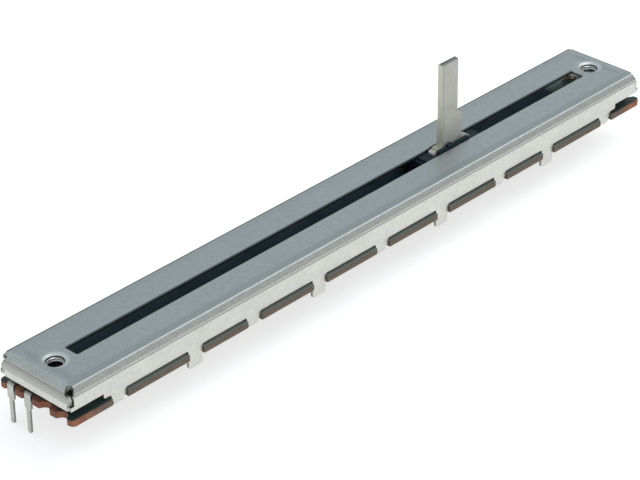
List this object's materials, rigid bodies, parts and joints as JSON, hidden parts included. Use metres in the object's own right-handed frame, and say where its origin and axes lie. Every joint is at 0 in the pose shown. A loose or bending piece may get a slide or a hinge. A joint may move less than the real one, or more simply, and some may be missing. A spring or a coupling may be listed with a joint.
{
  "type": "slide potentiometer",
  "caption": "Straight-travel slide potentiometer: folded steel cover over a printed board, flat lever through a long slot, tapped mounting holes and flat solder terminals.",
  "frame": {"origin": "middle of the slot, in the plane of the mounting face, which is the upper side of the cover", "axes": "+X along the travel, from the end with two terminals to the end with one; +Z out of the mounting face, the way the lever points; +Y to the side where the terminals are"},
  "size_m": [0.1282, 0.0156, 0.0264],
  "materials": {
    "cover_steel": "satin plated sheet steel",
    "board_laminate": "brown paper laminate with a dark green coat on top",
    "carbon_ink": "smooth printed carbon",
    "silver_ink": "printed silver under coat",
    "terminal_metal": "tin plated",
    "eyelet_metal": "tin plated",
    "slider_plastic": "black moulded acetal",
    "lever_steel": "satin plated",
    "spring_metal": "bare spring bronze"
  },
  "bodies": {
    "case": {"cover": "cover_steel", "element_board": "board_laminate", "resistive_track": "carbon_ink", "collector_track": "carbon_ink", "conductor_pad_1": "silver_ink", "conductor_pad_2": "silver_ink", "conductor_pad_3": "silver_ink", "terminal_1": "terminal_metal", "terminal_2": "terminal_metal", "terminal_3": "terminal_metal", "eyelet_1": "eyelet_metal", "eyelet_2": "eyelet_metal", "eyelet_3": "eyelet_metal"},
    "slider": {"carriage": "slider_plastic", "lever": "lever_steel", "wiper": "spring_metal", "leaf_spring_left": "spring_metal", "leaf_spring_right": "spring_metal"}
  },
  "joints": [
    {"name": "lever_slide", "type": "slide", "parent": "case", "child": "slider", "axis": [1, 0, 0], "range_m": [-0.0741, 0.0259]}
  ]
}
